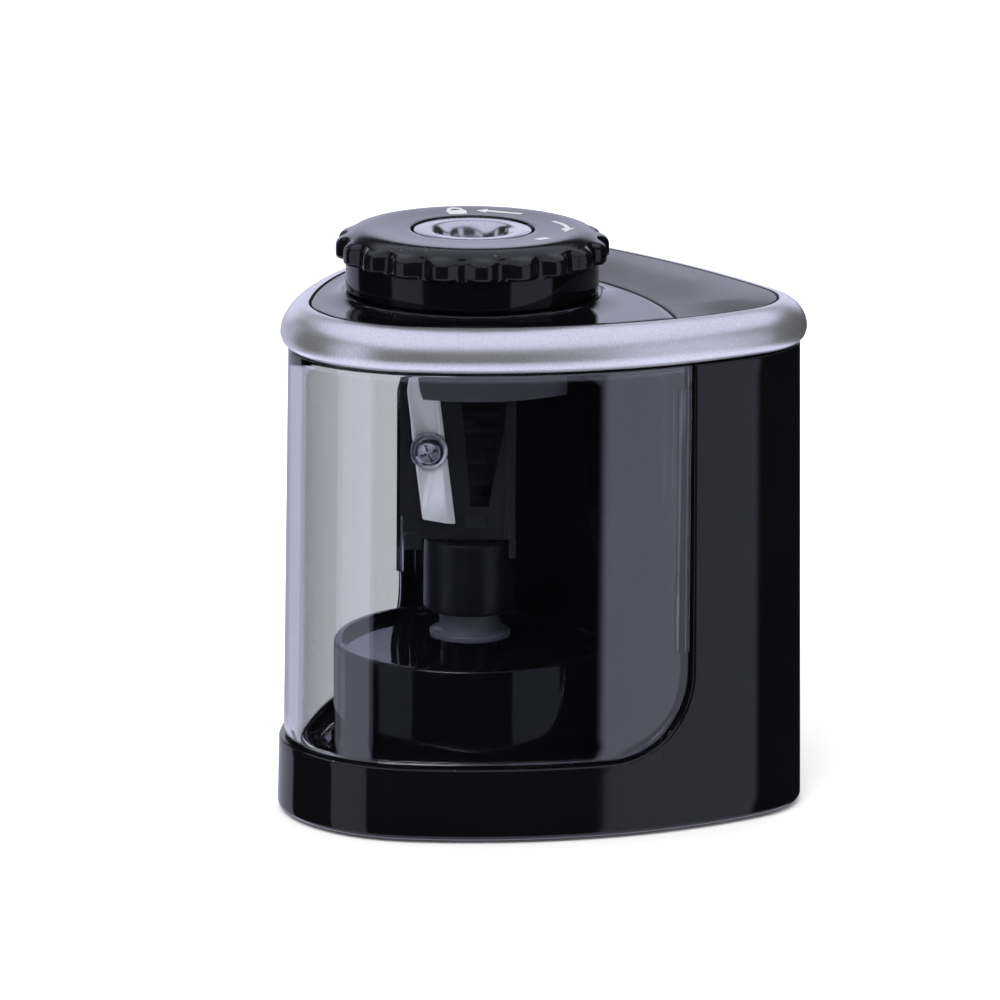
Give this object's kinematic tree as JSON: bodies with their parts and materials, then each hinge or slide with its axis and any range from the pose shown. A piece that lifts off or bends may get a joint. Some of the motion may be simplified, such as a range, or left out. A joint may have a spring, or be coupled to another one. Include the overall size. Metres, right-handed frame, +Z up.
{
  "type": "pencil sharpener",
  "caption": "Battery pencil sharpener with a rounded three-sided black body, a clear slide-off shavings bin and a scalloped turning knob.",
  "frame": {"origin": "middle of the footprint, on the surface that it stands on", "axes": "+Z up along the cutting spindle; -Y is the front, with the clear bin; +X is to the right seen from the front"},
  "size_m": [0.061, 0.061, 0.0711],
  "materials": {
    "gloss_black": "polished black moulding",
    "matt_black": "plain black moulding",
    "matt_cover": "fine matt texture",
    "sleeve_grey": "plain dark moulding",
    "holder_black": "moulded, semi-gloss",
    "silver_paint": "silver metallic paint on plastic, satin",
    "clear_smoke": "clear plastic with a smoke tint, polished",
    "white_plastic": "natural nylon, slightly translucent",
    "screw_steel": "nickel plated",
    "shaft_steel": "ground",
    "blade_steel": "ground, satin",
    "guide_metal": "bright turned metal",
    "plated_steel": "nickel plated sheet and wire",
    "motor_shell": "zinc plated can",
    "brass": "bare",
    "rubber": "matt",
    "cell_wrap": "printed sleeve, shiny",
    "lead_red": "insulated wire"
  },
  "bodies": {
    "housing": {"main_body": "gloss_black", "base_cover": "matt_black", "base_screw_1": "screw_steel", "base_screw_2": "screw_steel", "base_screw_3": "screw_steel", "rubber_foot_1": "rubber", "rubber_foot_2": "rubber", "rubber_foot_3": "rubber", "rubber_foot_4": "rubber", "top_ring": "silver_paint", "top_panel": "gloss_black", "knob_sleeve": "sleeve_grey", "gear_housing": "gloss_black", "gear_plate": "matt_black", "idler_axle": "shaft_steel", "motor_can": "motor_shell", "motor_end_cap": "white_plastic", "motor_terminal_left": "brass", "motor_terminal_right": "brass", "motor_lead_left": "lead_red", "motor_lead_right": "lead_red", "battery_cradle": "matt_black", "battery_left": "cell_wrap", "battery_right": "cell_wrap", "battery_contact_left": "plated_steel", "battery_contact_right": "plated_steel", "battery_contact_post": "plated_steel", "battery_spring_lower": "plated_steel", "switch_block": "matt_black", "switch_contact": "brass"},
    "bin": {"shavings_bin": "clear_smoke"},
    "battery_lid": {"battery_cover": "matt_cover", "battery_link_plate": "plated_steel", "battery_spring_upper": "plated_steel"},
    "carrier": {"knob_collar": "gloss_black"},
    "knob": {"knob_cap": "gloss_black", "pencil_guide": "guide_metal"},
    "holder_float": {"holder_bearing": "white_plastic"},
    "cutter": {"blade_holder": "holder_black", "blade": "blade_steel", "blade_screw": "screw_steel"},
    "bush": {"spindle_bush": "white_plastic"},
    "spindle": {"spindle_shaft": "shaft_steel", "drive_socket": "holder_black", "output_gear": "white_plastic"},
    "idler": {"idler_gear": "white_plastic"},
    "rotor": {"motor_shaft": "shaft_steel", "motor_pinion": "brass"},
    "leaf": {"switch_leaf": "brass"}
  },
  "joints": [
    {"name": "bin_slide", "type": "slide", "parent": "housing", "child": "bin", "axis": [0, -1, 0], "range_m": [0, 0.045]},
    {"name": "battery_lid_lift", "type": "slide", "parent": "housing", "child": "battery_lid", "axis": [0, 0, 1], "range_m": [0, 0.02]},
    {"name": "cutter_lift", "type": "slide", "parent": "housing", "child": "carrier", "axis": [0, 0, 1], "range_m": [0, 0.046]},
    {"name": "knob_turn", "type": "hinge", "parent": "carrier", "child": "knob", "pos_m": [0, -0.00555, 0.0695], "axis": [0, 0, 1], "range_deg": [0, 40]},
    {"name": "spindle_press", "type": "slide", "parent": "housing", "child": "bush", "axis": [0, 0, -1], "range_m": [0, 0.0012], "stiffness_N_per_m": 2000},
    {"name": "spindle_spin", "type": "hinge", "parent": "bush", "child": "spindle", "pos_m": [0, -0.00555, 0.015], "axis": [0, 0, 1], "continuous": true},
    {"name": "holder_press", "type": "slide", "parent": "carrier", "child": "holder_float", "axis": [0, 0, -1], "range_m": [0, 0.0012]},
    {"name": "cutter_spin", "type": "hinge", "parent": "holder_float", "child": "cutter", "pos_m": [0, -0.00555, 0.045], "axis": [0, 0, 1], "continuous": true},
    {"name": "idler_spin", "type": "hinge", "parent": "housing", "child": "idler", "pos_m": [0, 0.00695, 0.01], "axis": [0, 0, 1], "continuous": true},
    {"name": "rotor_spin", "type": "hinge", "parent": "housing", "child": "rotor", "pos_m": [0, 0.01695, 0.02], "axis": [0, 0, 1], "continuous": true},
    {"name": "leaf_flex", "type": "hinge", "parent": "housing", "child": "leaf", "pos_m": [0.014, -0.00555, 0.00421], "axis": [0, -1, 0], "range_deg": [0, 5]}
  ],
  "couplings": [
    {"joint": "holder_press", "follows": "spindle_press", "ratio": 1},
    {"joint": "leaf_flex", "follows": "spindle_press", "rad_per_m": 71.43},
    {"joint": "cutter_spin", "follows": "spindle_spin", "ratio": 1},
    {"joint": "idler_spin", "follows": "spindle_spin", "ratio": -4},
    {"joint": "rotor_spin", "follows": "spindle_spin", "ratio": 12}
  ]
}
